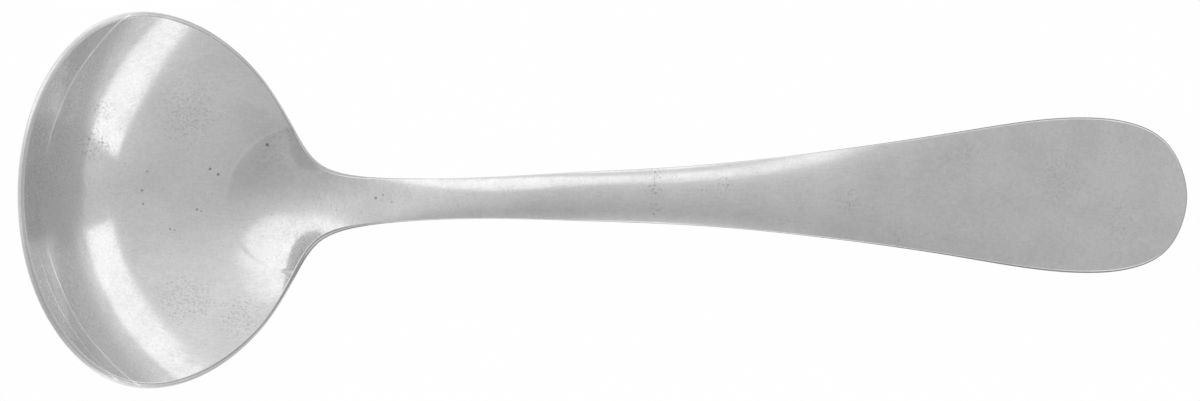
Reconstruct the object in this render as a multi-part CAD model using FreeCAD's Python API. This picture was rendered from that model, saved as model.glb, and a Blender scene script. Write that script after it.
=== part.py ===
"""Cream ladle, one piece of silver, in millimetres.

The ladle is drawn in the frame of its bowl: x runs from the nose to the handle along the
plane of the rim, with 0 where the mouth is widest, y runs across, and z is up from that
plane. The finished solid is then laid down as it rests on a table, on the underside of
the bowl and of the handle's tip, with its opening towards the handle.
"""
import FreeCAD, Part
import math
import os

# Driving dimensions of the bowl
MOUTH_WIDTH = 40.65
MOUTH_NOSE = 14.85
MOUTH_HEEL = 23.1
BOWL_DEPTH = 9.7
RIM_WALL = 0.8
BOWL_WALL = 1.0

# Driving dimensions of the handle
HANDLE_REACH = 85.05
HANDLE_RISE = 44.9
SHANK_WIDTH = 3.9
SHANK_THICKNESS = 2.6
BLADE_WIDTH = 16.8
BLADE_THICKNESS = 1.5
BLADE_ROUND = 11.5
SHOULDER_DROP = 1.2
EDGE_WALL = 1.15

# How far the rounded edges stand out past the two faces, as a share of the wall there
EDGE_BULGE = 0.25

# Depth of the keel, as a share of the bowl's, at shares of the nose and of the heel
NOSE_KEEL = ((-1.0, 0.0), (-0.84, 0.266), (-0.60, 0.612), (-0.30, 0.901))
HEEL_KEEL = ((0.0, 1.028), (0.28, 0.961), (0.54, 0.822), (0.80, 0.555), (1.0, 0.050))

# Arch of the handle: its share of the rise at shares of its reach
HANDLE_ARCH = ((0.062, 0.191), (0.135, 0.375), (0.208, 0.491), (0.295, 0.588), (0.397, 0.694),
               (0.504, 0.794), (0.627, 0.885), (0.754, 0.943), (0.866, 0.976), (1.0, 1.0))

# Half-width of the mouth, as a share of the full one, from the nose to the heel
NOSE_EDGE = ((-1.0, 0.0), (-0.90, 0.467), (-0.62, 0.777), (-0.30, 0.945))
HEEL_EDGE = ((0.0, 1.0), (0.27, 0.957), (0.50, 0.816), (0.70, 0.623), (0.86, 0.382))

# Half-width of the neck, as a share of the shank's, at shares of the heel
NECK_EDGE = ((1.0, 1.76), (1.20, 1.20))

# Swell from shank to blade, at shares of the way from the heel to the widest of the blade
SWELL = ((0.125, 0.04), (0.26, 0.10), (0.42, 0.197), (0.60, 0.42), (0.80, 0.75))

# Round end of the blade: its share of the blade's width at shares of the rounded length
BLADE_END = ((0.42, 0.94), (0.78, 0.71), (0.96, 0.31), (1.0, 0.0))

# Height of the edges above the keel, as a share of the bowl's depth, at shares of the heel
HOLLOW = ((0.0, 1.010), (0.20, 0.972), (0.40, 0.922), (0.54, 0.846), (0.70, 0.665), (0.80, 0.475),
          (0.90, 0.265), (1.0, 0.135), (1.10, 0.070), (1.25, 0.022), (1.40, 0.004), (1.50, 0.0))

# How finely the surfaces are laid out
SURFACE_STEP = 2.6
SECTION_DEGREE = 6
EDGE_STEPS = 60
CREST_STEP = 0.01
END_CROWDING = 0.7
OUTLINE_SAMPLES = 400
SLOPE_STEP = 0.02
SHEET_SHARE = 1.02
MARGIN = 1.8
SEW_GAP = 0.005
REST_DETAIL = 0.02
REST_STEPS = 12


class Curve:
    """Smooth curve through stations, with no jump in slope or bend."""

    def __init__(self, stations, start=None, end=None):
        self.at = [a for a, value in stations]
        self.value = [value for a, value in stations]
        self.bend = self.solve(start, end)

    def solve(self, start, end):
        n = len(self.at)
        gap = [self.at[i + 1] - self.at[i] for i in range(n - 1)]
        slope = [(self.value[i + 1] - self.value[i]) / gap[i] for i in range(n - 1)]
        low = [0.0] * n
        mid = [1.0] * n
        high = [0.0] * n
        right = [0.0] * n
        if start is not None:
            mid[0] = 2 * gap[0]
            high[0] = gap[0]
            right[0] = 6 * (slope[0] - start)
        if end is not None:
            mid[-1] = 2 * gap[-1]
            low[-1] = gap[-1]
            right[-1] = 6 * (end - slope[-1])
        for i in range(1, n - 1):
            low[i] = gap[i - 1]
            mid[i] = 2 * (gap[i - 1] + gap[i])
            high[i] = gap[i]
            right[i] = 6 * (slope[i] - slope[i - 1])
        for i in range(1, n):
            share = low[i] / mid[i - 1]
            mid[i] -= share * high[i - 1]
            right[i] -= share * right[i - 1]
        bend = [0.0] * n
        bend[-1] = right[-1] / mid[-1]
        for i in range(n - 2, -1, -1):
            bend[i] = (right[i] - high[i] * bend[i + 1]) / mid[i]
        return bend

    def __call__(self, a):
        i = 0
        while i < len(self.at) - 2 and a > self.at[i + 1]:
            i += 1
        gap = self.at[i + 1] - self.at[i]
        p = (self.at[i + 1] - a) / gap
        q = (a - self.at[i]) / gap
        if p > 1:
            return self.value[0] + (a - self.at[0]) * self.slope_at(0)
        if q > 1:
            return self.value[-1] + (a - self.at[-1]) * self.slope_at(len(self.at) - 1)
        bent = (p ** 3 - p) * self.bend[i] + (q ** 3 - q) * self.bend[i + 1]
        return p * self.value[i] + q * self.value[i + 1] + bent * gap ** 2 / 6

    def slope_at(self, i):
        j = min(i, len(self.at) - 2)
        gap = self.at[j + 1] - self.at[j]
        chord = (self.value[j + 1] - self.value[j]) / gap
        if i == j:
            return chord - gap * (2 * self.bend[j] + self.bend[j + 1]) / 6
        return chord + gap * (self.bend[j] + 2 * self.bend[j + 1]) / 6


def bowl_x(share):
    """Place along the rim plane of a share of the nose or, past the widest point, of the heel."""
    return share * (MOUTH_NOSE if share < 0 else MOUTH_HEEL)


SIDES = (1, -1)
HALF_MOUTH = MOUTH_WIDTH / 2
HALF_SHANK = SHANK_WIDTH / 2
HALF_BLADE = BLADE_WIDTH / 2
TIP_X = MOUTH_HEEL + HANDLE_REACH
BLADE_X = TIP_X - BLADE_ROUND


def make_keel():
    """Middle line of the top face, from the nose through the bowl and along the handle."""
    heel_z = -BOWL_DEPTH * HEEL_KEEL[-1][1]
    stations = [(bowl_x(a), -BOWL_DEPTH * depth) for a, depth in NOSE_KEEL + HEEL_KEEL]
    stations += [(MOUTH_HEEL + a * HANDLE_REACH, heel_z + rise * (HANDLE_RISE - heel_z))
                 for a, rise in HANDLE_ARCH]
    return Curve(stations)


def edge_stations():
    """Half of the top face's outline, as (x, half-width) from the nose to the handle's tip."""
    stations = [(bowl_x(a), HALF_MOUTH * width) for a, width in NOSE_EDGE + HEEL_EDGE]
    stations += [(bowl_x(a), HALF_SHANK * width) for a, width in NECK_EDGE]
    for along, grown in SWELL:
        half = HALF_SHANK + grown * (HALF_BLADE - HALF_SHANK)
        stations.append((MOUTH_HEEL + along * (BLADE_X - MOUTH_HEEL), half))
    stations.append((BLADE_X, HALF_BLADE))
    stations += [(BLADE_X + a * BLADE_ROUND, HALF_BLADE * width) for a, width in BLADE_END]
    return stations


def make_outline():
    """The outline as two curves of the length run along it: x and half-width."""
    stations = edge_stations()
    run = [0.0]
    for (x0, w0), (x1, w1) in zip(stations, stations[1:]):
        run.append(run[-1] + math.hypot(x1 - x0, w1 - w0))
    along = Curve([(s, x) for s, (x, w) in zip(run, stations)], 0.0, 0.0)
    across = Curve([(s, w) for s, (x, w) in zip(run, stations)], 1.0, -1.0)
    return along, across, run[-1]


def make_spread():
    """Half-width that the cross-sections are measured in: the outline's own, past the mouth."""
    places = [outline_length * i / OUTLINE_SAMPLES for i in range(OUTLINE_SAMPLES + 1)]
    points = [(outline_x(s), outline_w(s)) for s in places]

    def spread(x):
        if x <= 0:
            return HALF_MOUTH
        if x >= BLADE_X:
            return HALF_BLADE
        for (x0, w0), (x1, w1) in zip(points, points[1:]):
            if x0 <= x <= x1:
                return w0 + (w1 - w0) * (x - x0) / (x1 - x0)
        return HALF_BLADE

    return spread


def make_dish():
    """Curvature across the bowl and the neck, which sets how high the rim stands."""
    first = HOLLOW[0][1] * BOWL_DEPTH / HALF_MOUTH ** 2
    stations = [(bowl_x(a), first) for a in (-1.0, -0.5)]
    for a, height in HOLLOW:
        stations.append((bowl_x(a), height * BOWL_DEPTH / spread(bowl_x(a)) ** 2))
    return Curve(stations)


keel = make_keel()
outline_x, outline_w, outline_length = make_outline()
spread = make_spread()
dish = make_dish()
DISH_END = bowl_x(HOLLOW[-1][0])
SHOULDER_START = bowl_x(0.9)

# Drop of the rounded shoulders either side of the handle, which fades out on the blade
shoulder = Curve([(SHOULDER_START, 0.0), (bowl_x(1.25), 0.5 * SHOULDER_DROP),
                  (MOUTH_HEEL + 0.20 * HANDLE_REACH, 0.75 * SHOULDER_DROP),
                  (MOUTH_HEEL + 0.45 * HANDLE_REACH, SHOULDER_DROP),
                  (MOUTH_HEEL + 0.60 * HANDLE_REACH, 0.45 * SHOULDER_DROP),
                  (MOUTH_HEEL + 0.75 * HANDLE_REACH, 0.15 * SHOULDER_DROP),
                  (BLADE_X, 0.1 * SHOULDER_DROP), (TIP_X, 0.08 * SHOULDER_DROP)], 0.0)

# Wall on the middle line, and at the edge
spine = Curve([(-MOUTH_NOSE, RIM_WALL), (0.0, BOWL_WALL), (bowl_x(0.6), 1.1 * BOWL_WALL),
               (MOUTH_HEEL, 0.8 * SHANK_THICKNESS), (bowl_x(1.35), SHANK_THICKNESS),
               (MOUTH_HEEL + 0.45 * HANDLE_REACH, 0.9 * SHANK_THICKNESS),
               (BLADE_X, 1.1 * BLADE_THICKNESS), (TIP_X, BLADE_THICKNESS)])
edge = Curve([(-MOUTH_NOSE, RIM_WALL), (bowl_x(0.5), RIM_WALL), (MOUTH_HEEL, RIM_WALL),
              (bowl_x(1.4), EDGE_WALL), (BLADE_X, EDGE_WALL), (TIP_X, EDGE_WALL)])


def top_z(x, y):
    """Height of the top face: the bowl's inside and the upper side of the handle."""
    rise = dish(x) if x < DISH_END else 0.0
    across = y / spread(x)
    drop = shoulder(x) if x > SHOULDER_START else 0.0
    return keel(x) + rise * y * y - drop * (across ** 2 + across ** 4) / 2


def top_point(x, y):
    return FreeCAD.Vector(x, y, top_z(x, y))


def top_normal(x, y):
    """Upward normal of the top face."""
    dx = (top_z(x + SLOPE_STEP, y) - top_z(x - SLOPE_STEP, y)) / (2 * SLOPE_STEP)
    dy = (top_z(x, y + SLOPE_STEP) - top_z(x, y - SLOPE_STEP)) / (2 * SLOPE_STEP)
    return FreeCAD.Vector(-dx, -dy, 1.0).normalize()


def wall(x, y):
    """Thickness of the metal, from the spine on the middle line to the edge."""
    across = min(abs(y) / spread(x), 1.0)
    return edge(x) + (spine(x) - edge(x)) * (1 - across ** 2)


def under_point(x, y):
    """Point of the underside, one wall below the top face."""
    return top_point(x, y) - top_normal(x, y) * wall(x, y)


def half_sheet(x):
    """Half-width of the sheet that the top face is cut from."""
    return spread(x) * SHEET_SHARE + MARGIN


def sheet(point):
    """Surface through cross-sections of the face, reaching past the outline on all sides."""
    first = -MOUTH_NOSE - MARGIN
    last = TIP_X + MARGIN
    count = int((last - first) / SURFACE_STEP)
    stations = [first + (last - first) * i / count for i in range(count + 1)]
    sections = []
    for x in stations:
        across = [half_sheet(x) * (1 - 2 * j / SECTION_DEGREE) for j in range(SECTION_DEGREE + 1)]
        section = Part.BezierCurve()
        section.interpolate([[point(x, y)] for y in across])
        sections.append(section.getPoles())
    lines = []
    for poles in zip(*sections):
        line = Part.BSplineCurve()
        line.interpolate(Points=list(poles), Parameters=stations)
        lines.append(line)
    full = SECTION_DEGREE + 1
    surface = Part.BSplineSurface()
    surface.buildFromPolesMultsKnots([line.getPoles() for line in lines], [full, full],
                                     lines[0].getMultiplicities(), [0.0, 1.0],
                                     lines[0].getKnots(), False, False, SECTION_DEGREE, 3)
    return surface


def edge_places():
    """Places along half of the outline, closer together at the nose and the tip."""
    places = []
    for i in range(EDGE_STEPS + 1):
        turn = 2 * math.pi * i / EDGE_STEPS
        places.append(outline_length * (turn - END_CROWDING * math.sin(turn)) / (2 * math.pi))
    return places


def rim_point(point, s, side):
    """Point on the outline of a face, at a place along one side."""
    return point(outline_x(s), side * max(outline_w(s), 0.0))


def edge_crest(s, side):
    """Point on the crest of the rounded edge, midway between the two faces."""
    behind = max(s - CREST_STEP, 0.0)
    ahead = min(s + CREST_STEP, outline_length)
    run_x = outline_x(ahead) - outline_x(behind)
    run_w = outline_w(ahead) - outline_w(behind)
    if s <= CREST_STEP or s >= outline_length - CREST_STEP:
        run_x = 0.0
    x = outline_x(s)
    y = side * max(outline_w(s), 0.0)
    normal = top_normal(x, y)
    out = FreeCAD.Vector(-run_w, side * run_x, 0.0).normalize()
    out = (out - normal * out.dot(normal)).normalize()
    middle = top_point(x, y) - normal * (wall(x, y) / 2)
    return middle + out * (EDGE_BULGE * wall(x, y))


def side_places(side):
    """Places along one side in the order that closes the loop, and their run from its start."""
    if side > 0:
        return [(s, s) for s in edge_places()]
    return [(s, outline_length - s) for s in reversed(edge_places())]


def cut_sheet(surface, point):
    """The part of a sheet inside the outline, with one edge along each side."""
    edges = []
    for side in SIDES:
        rim = [rim_point(point, s, side) for s, run in side_places(side)]
        line = Part.Geom2d.BSplineCurve2d()
        line.interpolate(Points=[FreeCAD.Base.Vector2d(*surface.parameter(q)) for q in rim],
                         Parameters=[run for s, run in side_places(side)])
        edges.append(line.toShape(surface))
    return Part.Face(surface, Part.Wire(edges))


def edge_face(side, top_edge, under_edge):
    """Rounded edge of the metal along one side, from the top face over its crest to the underside."""
    crest = Part.BSplineCurve()
    crest.interpolate(Points=[edge_crest(s, side) for s, run in side_places(side)],
                      Parameters=[run for s, run in side_places(side)])
    surface = Part.BSplineSurface()
    surface.buildFromNSections([top_edge.Curve, crest, under_edge.Curve])
    return surface.toShape()


def make_ladle():
    """The whole ladle as one solid, in the frame of its bowl."""
    top = cut_sheet(sheet(top_point), top_point)
    under = cut_sheet(sheet(under_point), under_point)
    faces = [top, under]
    for side, top_edge, under_edge in zip(SIDES, top.Edges, under.Edges):
        faces.append(edge_face(side, top_edge, under_edge))
    shape = Part.Compound(faces)
    shape.sewShape(SEW_GAP)
    solid = Part.Solid(shape.Shells[0])
    if solid.Volume < 0:
        solid.reverse()
    return solid


def rest_tilt(solid):
    """Turn about y, in degrees, that lays the ladle on its bowl and its handle's tip."""
    points = solid.tessellate(REST_DETAIL)[0]
    angle = 0.0
    for attempt in range(REST_STEPS):
        heights = [(q.z * math.cos(angle) - q.x * math.sin(angle), q) for q in points]
        bowl = min((h, q.x, q.z) for h, q in heights if q.x < MOUTH_HEEL)
        tip = min((h, q.x, q.z) for h, q in heights if q.x > BLADE_X)
        angle = math.atan2(tip[2] - bowl[2], tip[1] - bowl[1])
    return math.degrees(angle)


ladle = make_ladle()
tilt = rest_tilt(ladle)
ladle.rotate(FreeCAD.Vector(0, 0, 0), FreeCAD.Vector(0, 1, 0), tilt)
box = ladle.optimalBoundingBox()
ladle.translate(FreeCAD.Vector(-(box.XMin + box.XMax) / 2, -(box.YMin + box.YMax) / 2, -box.ZMin))

os.makedirs("parts", exist_ok=True)
ladle.exportStep("parts/ladle.step")
print("tilt", round(tilt, 2), "volume", round(ladle.Volume, 1), "valid", ladle.isValid(), "box",
      [round(v, 2) for v in (box.XLength, box.YLength, box.ZLength)])
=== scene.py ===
"""Looks of a cream ladle in worn silver, seen from straight above, in metres.

The bowl lies to the left and the handle to the right, as the ladle rests on a table on the
underside of its bowl and of the handle's tip.  LadleForm holds the law of its form, Ladle builds
the metal from it, WornSilver is its finish with some painted shade and painted highlights, and
Studio is the table and the light around it.
"""

import logging
import math
from dataclasses import dataclass, field
from enum import Enum
from typing import Any, Optional, Sequence, Union

import bpy
import numpy as np
from mathutils import Matrix, Vector

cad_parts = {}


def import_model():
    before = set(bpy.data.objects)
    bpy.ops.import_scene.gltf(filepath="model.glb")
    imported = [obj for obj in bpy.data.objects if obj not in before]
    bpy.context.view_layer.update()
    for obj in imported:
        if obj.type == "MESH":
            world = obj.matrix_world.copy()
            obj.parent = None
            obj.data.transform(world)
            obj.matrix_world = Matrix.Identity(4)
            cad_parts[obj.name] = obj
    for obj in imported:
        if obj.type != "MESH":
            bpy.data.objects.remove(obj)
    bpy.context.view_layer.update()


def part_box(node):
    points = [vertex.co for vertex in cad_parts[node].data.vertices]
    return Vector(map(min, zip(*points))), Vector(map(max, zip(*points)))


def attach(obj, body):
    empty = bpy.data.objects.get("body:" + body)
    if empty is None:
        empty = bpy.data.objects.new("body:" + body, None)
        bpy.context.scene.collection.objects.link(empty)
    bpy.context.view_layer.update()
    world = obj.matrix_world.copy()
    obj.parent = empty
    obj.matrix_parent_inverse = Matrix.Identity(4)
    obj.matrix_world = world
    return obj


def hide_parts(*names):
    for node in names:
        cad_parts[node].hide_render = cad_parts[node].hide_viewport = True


log = logging.getLogger("cream_ladle")

MM = 0.001
Number = Union[int, float]
Reach = tuple[float, float]
Triple = tuple[float, float, float]
Stations = Sequence[tuple[float, float]]


class Colour(Enum):
    """Plain colours of the studio and of the silver, as linear values."""

    WHITE = (1.0, 1.0, 1.0, 1.0)
    CLOTH = (0.7, 0.7, 0.7, 1.0)
    SILVER = (0.93, 0.93, 0.93, 1.0)
    # tone of the tarnish, also painted as shade on the handle's end and the neck
    TARNISH_AND_SHADE = (0.62, 0.62, 0.615, 1.0)
    # darker tone painted as shade on the nose's wall, which is also rougher
    DULL_AND_SHADE = (0.40, 0.40, 0.40, 1.0)
    # dark tone of the pits and specks, also painted as shade on the rim's lip
    DARK_MARK_AND_SHADE = (0.16, 0.158, 0.155, 1.0)


class Face(Enum):
    """The two faces of the metal, by the turn of the edge at which each one starts."""

    TOP = 0.0
    UNDER = math.pi


@dataclass(frozen=True)
class Cloud:
    """Cloudy noise, by its scale to the millimetre, its detail and its roughness."""

    scale: float
    detail: float
    roughness: float = 0.5


class Sum:
    """A socket that takes part in arithmetic.

    Each operation adds one Math node, or one Vector Math node where a value is a vector.
    """

    def __init__(self, nodes: "NodeMaker", socket: Any) -> None:
        """Wraps a socket of a tree."""
        self.nodes = nodes
        self.socket = socket

    @property
    def is_vector(self) -> bool:
        """Whether the socket carries a vector."""
        return self.socket.type == "VECTOR"

    def output(self, name: str) -> "Sum":
        """Another output of the same node."""
        return Sum(self.nodes, self.socket.node.outputs[name])

    def _with(self, operation: str, *values: Any) -> "Sum":
        """Adds one node of arithmetic.

        Args:
            operation: Operation of the Math or Vector Math node.
            values: What its inputs take, in order.

        Returns:
            The node's result.
        """
        vectors = any(isinstance(v, Sum) and v.is_vector for v in values)
        kind = "ShaderNodeVectorMath" if vectors else "ShaderNodeMath"
        return self.nodes.add(kind, {"operation": operation}, dict(enumerate(values)))

    def __add__(self, other: Any) -> "Sum":
        """This plus other."""
        return self._with("ADD", self, other)

    def __radd__(self, other: Any) -> "Sum":
        """Other plus this."""
        return self._with("ADD", other, self)

    def __sub__(self, other: Any) -> "Sum":
        """This minus other."""
        return self._with("SUBTRACT", self, other)

    def __rsub__(self, other: Any) -> "Sum":
        """Other minus this."""
        return self._with("SUBTRACT", other, self)

    def __mul__(self, other: Any) -> "Sum":
        """This times other.

        Args:
            other: A value or a vector, where a vector may be scaled by a value.

        Returns:
            The product.
        """
        if self.is_vector and not (isinstance(other, Sum) and other.is_vector):
            return self.nodes.add(
                "ShaderNodeVectorMath", {"operation": "SCALE"}, {0: self, "Scale": other}
            )
        return self._with("MULTIPLY", self, other)

    def __rmul__(self, other: Any) -> "Sum":
        """Other times this."""
        return self * other

    def __truediv__(self, other: Any) -> "Sum":
        """This over other."""
        return self._with("DIVIDE", self, other)

    def __rtruediv__(self, other: Any) -> "Sum":
        """Other over this."""
        return self._with("DIVIDE", other, self)

    def __pow__(self, other: Any) -> "Sum":
        """This to the power of other."""
        return self._with("POWER", self, other)

    def __abs__(self) -> "Sum":
        """Size of this without its sign."""
        return self._with("ABSOLUTE", self)

    def sign(self) -> "Sum":
        """One with this value's sign."""
        return self._with("SIGN", self)

    def cosine(self) -> "Sum":
        """Cosine of this."""
        return self._with("COSINE", self)

    def sine(self) -> "Sum":
        """Sine of this."""
        return self._with("SINE", self)

    def bearing(self, east: "Sum") -> "Sum":
        """Angle, from east towards north, of the direction with this as its northward part."""
        return self._with("ARCTAN2", self, east)

    def dot(self, direction: Sequence[float]) -> "Sum":
        """Dot product of this vector and a fixed one."""
        return self._value_with("DOT_PRODUCT", direction)

    def distance(self, place: Sequence[float]) -> "Sum":
        """Distance of this vector from a fixed place."""
        return self._value_with("DISTANCE", place)

    def _value_with(self, operation: str, fixed: Sequence[float]) -> "Sum":
        """Adds one node that makes a value of this vector and a fixed one.

        Args:
            operation: Operation of the Vector Math node.
            fixed: The other vector.

        Returns:
            The value.
        """
        inputs = {0: self, 1: tuple(fixed)}
        return self.nodes.add("ShaderNodeVectorMath", {"operation": operation}, inputs, "Value")

    def ramp(self, low: Number, high: Number) -> "Sum":
        """Smooth step of this value.

        Args:
            low: Value at which the result is 0.
            high: Value from which the result is 1.

        Returns:
            The step, between 0 and 1.
        """
        falls = low > high
        step = self.nodes.add(
            "ShaderNodeMapRange",
            {"interpolation_type": "SMOOTHSTEP"},
            {"Value": self, "From Min": min(low, high), "From Max": max(low, high)},
            "Result",
        )
        return 1.0 - step if falls else step


class NodeMaker:
    """Adds nodes to one tree, for a material, a world or a form alike."""

    def __init__(self, tree: Any) -> None:
        """Starts on a tree."""
        self.tree = tree

    @classmethod
    def cleared(cls, owner: Any) -> "NodeMaker":
        """Starts on the emptied tree of a material or a world."""
        owner.use_nodes = True
        owner.node_tree.nodes.clear()
        return cls(owner.node_tree)

    def node(
        self,
        kind: str,
        settings: Optional[dict[str, Any]] = None,
        inputs: Optional[dict[Any, Any]] = None,
    ) -> Any:
        """Adds one node.

        Args:
            kind: Blender's type of node.
            settings: The node's own settings, which are set first.
            inputs: Values or links of its sockets, by name or number.

        Returns:
            The node itself.
        """
        node = self.tree.nodes.new(kind)
        for name, value in (settings or {}).items():
            setattr(node, name, value)
        for name, value in (inputs or {}).items():
            socket = node.inputs[name]
            if isinstance(value, Sum):
                self.tree.links.new(value.socket, socket)
            elif socket.type == "VECTOR" and isinstance(value, (int, float)):
                socket.default_value = (value, value, value)
            else:
                socket.default_value = value
        return node

    def add(
        self,
        kind: str,
        settings: Optional[dict[str, Any]] = None,
        inputs: Optional[dict[Any, Any]] = None,
        output: Union[int, str] = 0,
    ) -> Sum:
        """Adds one node and hands back an output of it for arithmetic.

        Args:
            kind: Blender's type of node.
            settings: The node's own settings.
            inputs: Values or links of its sockets, by name or number.
            output: The output, by name or number.

        Returns:
            That output.
        """
        return Sum(self, self.node(kind, settings, inputs).outputs[output])

    def mix(self, share: Any, first: Any, second: Any) -> Sum:
        """Mix of two colours.

        Args:
            share: Share of the second one.
            first: Colour where the share is 0.
            second: Colour where the share is 1.

        Returns:
            The mixed colour.
        """
        return self.add(
            "ShaderNodeMix", {"data_type": "RGBA"}, {0: share, 6: first, 7: second}, 2
        )

    def noise(self, place: Sum, cloud: Cloud) -> Sum:
        """Cloudy noise between 0 and 1.

        Args:
            place: Where it is read.
            cloud: Its scale, detail and roughness.

        Returns:
            The noise.
        """
        return self.add(
            "ShaderNodeTexNoise",
            {"noise_dimensions": "3D"},
            {
                "Vector": place,
                "Scale": cloud.scale,
                "Detail": cloud.detail,
                "Roughness": cloud.roughness,
            },
        )

    def turned(self, place: Sum, turn: Number, size: Triple) -> Sum:
        """A place turned about z and then scaled.

        Args:
            place: The place.
            turn: Its turn in degrees.
            size: Its scale along x, y and z.

        Returns:
            The place after both.
        """
        turned = self.add(
            "ShaderNodeMapping",
            {"vector_type": "POINT"},
            {"Vector": place, "Rotation": (0.0, 0.0, math.radians(turn))},
        )
        return self.add(
            "ShaderNodeMapping", {"vector_type": "POINT"}, {"Vector": turned, "Scale": size}
        )


def linked(name: str, data: Any) -> bpy.types.Object:
    """Puts an object in the scene.

    Args:
        name: Its name.
        data: Its mesh, lamp or camera.

    Returns:
        The object.
    """
    thing = bpy.data.objects.new(name, data)
    bpy.context.scene.collection.objects.link(thing)
    return thing


@dataclass
class Curve:
    """Smooth curve through stations, with no jump in slope or bend.

    It doesn't bend at an end unless that end's slope is given.
    """

    stations: Stations
    start: Optional[float] = None
    end: Optional[float] = None
    at: np.ndarray = field(init=False)
    value: np.ndarray = field(init=False)
    bend: np.ndarray = field(init=False)

    def __post_init__(self) -> None:
        """Works out how much the curve bends at each station."""
        self.at = np.array([a for a, _ in self.stations], float)
        self.value = np.array([v for _, v in self.stations], float)
        count = len(self.at)
        gap = np.diff(self.at)
        slope = np.diff(self.value) / gap
        system = np.eye(count)
        right = np.zeros(count)
        for i in range(1, count - 1):
            system[i, i - 1 : i + 2] = gap[i - 1], 2 * (gap[i - 1] + gap[i]), gap[i]
            right[i] = 6 * (slope[i] - slope[i - 1])
        if self.start is not None:
            system[0, :2] = 2 * gap[0], gap[0]
            right[0] = 6 * (slope[0] - self.start)
        if self.end is not None:
            system[-1, -2:] = gap[-1], 2 * gap[-1]
            right[-1] = 6 * (self.end - slope[-1])
        self.bend = np.linalg.solve(system, right)

    def _slope(self, last: bool) -> float:
        """Slope at one end.

        Args:
            last: Whether the end is the last station and not the first.

        Returns:
            The slope there.
        """
        j = len(self.at) - 2 if last else 0
        gap = self.at[j + 1] - self.at[j]
        chord = (self.value[j + 1] - self.value[j]) / gap
        if last:
            return chord + gap * (self.bend[j] + 2 * self.bend[j + 1]) / 6
        return chord - gap * (2 * self.bend[j] + self.bend[j + 1]) / 6

    def __call__(self, a: Any) -> np.ndarray:
        """Value of the curve, which goes straight on past its ends.

        Args:
            a: Place or places along the curve.

        Returns:
            The value at each place.
        """
        a = np.asarray(a, float)
        i = np.clip(np.searchsorted(self.at, a) - 1, 0, len(self.at) - 2)
        gap = self.at[i + 1] - self.at[i]
        p = (self.at[i + 1] - a) / gap
        q = (a - self.at[i]) / gap
        bent = (p**3 - p) * self.bend[i] + (q**3 - q) * self.bend[i + 1]
        inside = p * self.value[i] + q * self.value[i + 1] + bent * gap**2 / 6
        before = self.value[0] + (a - self.at[0]) * self._slope(False)
        after = self.value[-1] + (a - self.at[-1]) * self._slope(True)
        return np.where(a < self.at[0], before, np.where(a > self.at[-1], after, inside))


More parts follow.
